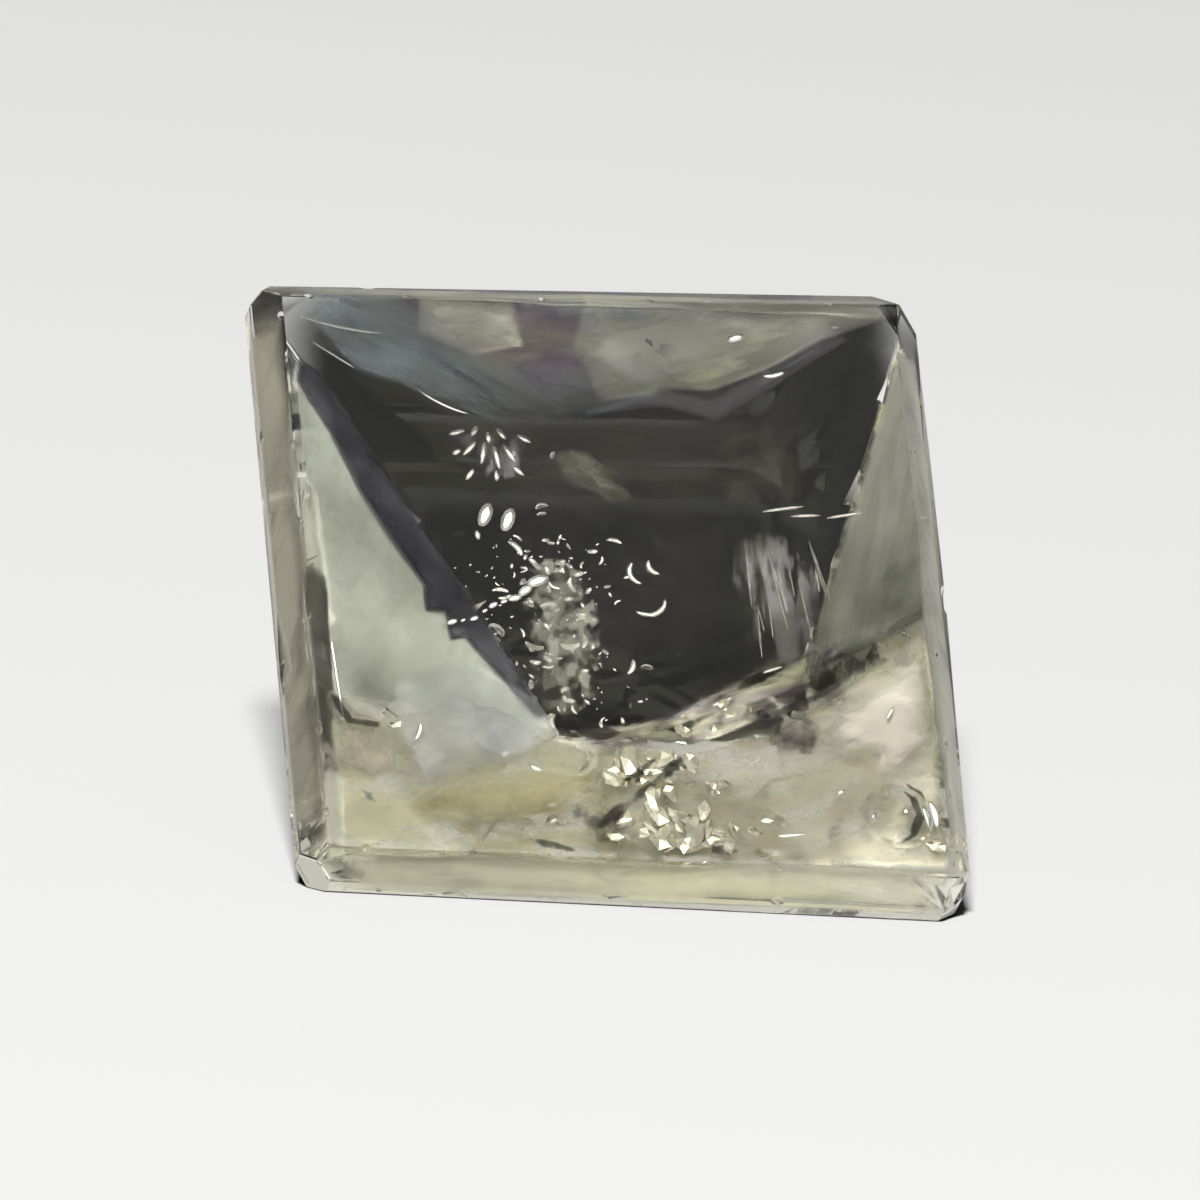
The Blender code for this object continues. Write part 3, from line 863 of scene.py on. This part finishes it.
# Lone bright marks: right, far, depth, half length, half width, turn, bend
STRAY_GLINTS = (
    (-1.14, 1.20, 0.26, 0.19, 0.006, -14.0, 20.0), (-1.18, 1.06, 0.36, 0.12, 0.005, -38.0, 0.0),
    (-0.72, 0.84, 0.50, 0.13, 0.006, -32.0, 30.0), (-1.30, -0.46, 0.34, 0.45, 0.007, 92.0, 0.0),
    (0.64, 1.23, 0.10, 0.045, 0.022, 20.0, 0.0), (0.80, 1.05, 0.30, 0.050, 0.010, 12.0, 40.0),
    (1.02, -1.12, 0.12, 0.036, 0.022, 80.0, 0.0), (1.31, -1.11, 0.12, 0.070, 0.018, 98.0, 25.0),
    (0.42, -0.60, 1.48, 0.060, 0.010, 25.0, 0.0), (0.66, -0.43, 1.36, 0.050, 0.008, 20.0, 0.0),
    (-0.39, -1.13, 0.30, 0.030, 0.018, 10.0, 0.0), (-0.58, -0.89, 0.34, 0.022, 0.016, 60.0, 0.0),
    (-0.45, -0.96, 0.32, 0.030, 0.014, -30.0, 60.0), (1.10, 1.31, 0.13, 0.020, 0.012, 0.0, 0.0),
    (1.16, -0.62, 0.20, 0.040, 0.008, 60.0, 0.0), (0.66, -1.24, 0.16, 0.070, 0.010, 5.0, 0.0),
    (-0.95, -0.80, 0.26, 0.050, 0.010, 70.0, 40.0), (0.90, -1.02, 0.20, 0.020, 0.012, 30.0, 0.0),
)


def stray_glints():
    """Bright marks that stand alone, away from the cloud."""
    glints = [
        grain((right, far, depth), (half, width, width * 0.15), turn, bend=bend)
        for right, far, depth, half, width, turn, bend in STRAY_GLINTS
    ]
    joined(glints, "stray_glints", bright_grain())


# ---------------------------------------------------------------- stage


def camera():
    data = bpy.data.cameras.new("camera")
    data.angle = radians(VIEW_ANGLE)
    data.clip_start, data.clip_end = NEAREST, FARTHEST
    made = bpy.data.objects.new("camera", data)
    bpy.context.scene.collection.objects.link(made)
    distance = FRAME_WIDTH / 2 / tan(radians(VIEW_ANGLE) / 2)
    made.location = view_back * distance + Vector((0, 0, FRAME_CENTRE_LIFT))
    level = view_back.to_track_quat("Z", "Y").to_matrix().to_4x4()
    made.rotation_euler = (level @ Matrix.Rotation(radians(VIEW_ROLL), 4, "Z")).to_euler()
    bpy.context.scene.camera = made


def floor():
    bpy.ops.object.select_all(action="DESELECT")
    bpy.ops.mesh.primitive_plane_add(size=FLOOR_SIZE, location=(0, 0, -FLOOR_GAP))
    ground = bpy.context.object
    ground.name = "floor"
    settle(ground)
    material, _, shader = new_finish("pale_floor")
    shader.inputs["Base Color"].default_value = FLOOR_TINT
    shader.inputs["Roughness"].default_value = FLOOR_ROUGHNESS
    shader.inputs["Specular IOR Level"].default_value = 0.0
    ground.data.materials.append(material)


def lamp(name, azimuth, elevation, distance, size, power):
    """A square studio light that can't be seen through the stone."""
    data = bpy.data.lights.new(name, "AREA")
    data.energy, data.size = power, size
    made = bpy.data.objects.new(name, data)
    bpy.context.scene.collection.objects.link(made)
    aim = toward(azimuth, elevation)
    made.location = aim * distance
    made.rotation_euler = aim.to_track_quat("Z", "Y").to_euler()
    made.visible_transmission = False
    return made


def light():
    """A key, a weak fill, and a room that only the stone shows: pale walls, a softbox overhead."""
    lamp("key", KEY_AZIMUTH, KEY_ELEVATION, KEY_DISTANCE, KEY_SIZE, KEY_POWER)
    fill = lamp("fill", FILL_AZIMUTH, FILL_ELEVATION, FILL_DISTANCE, FILL_SIZE, FILL_POWER)
    fill.visible_glossy = False
    world = bpy.data.worlds.new("studio")
    bpy.context.scene.world = world
    tree = Tree(world)
    direction = tree.node("ShaderNodeTexCoord", output="Generated")
    height = tree.node("ShaderNodeSeparateXYZ", {}, direction, output="Z")
    glow = height.above(ZENITH_HEIGHT, 0.3) * (ZENITH_GLOW - HORIZON_GLOW) + HORIZON_GLOW
    background = tree.nodes["Background"]
    background.inputs["Color"].default_value = ROOM_TINT
    softbox = height.above(SOFTBOX_HEIGHT, 0.01) * SOFTBOX_GLOW
    tree.put(background.inputs["Strength"], softbox + glow)
    world.cycles_visibility.diffuse = False
    scene = bpy.context.scene
    scene.cycles.caustics_refractive = False
    scene.cycles.caustics_reflective = False
    scene.cycles.transparent_max_bounces = 32
    scene.view_settings.view_transform = "Standard"


camera()
floor()
light()
worn_body()
films()
bubble_cloud()
silk()
crumbs()
stray_glints()
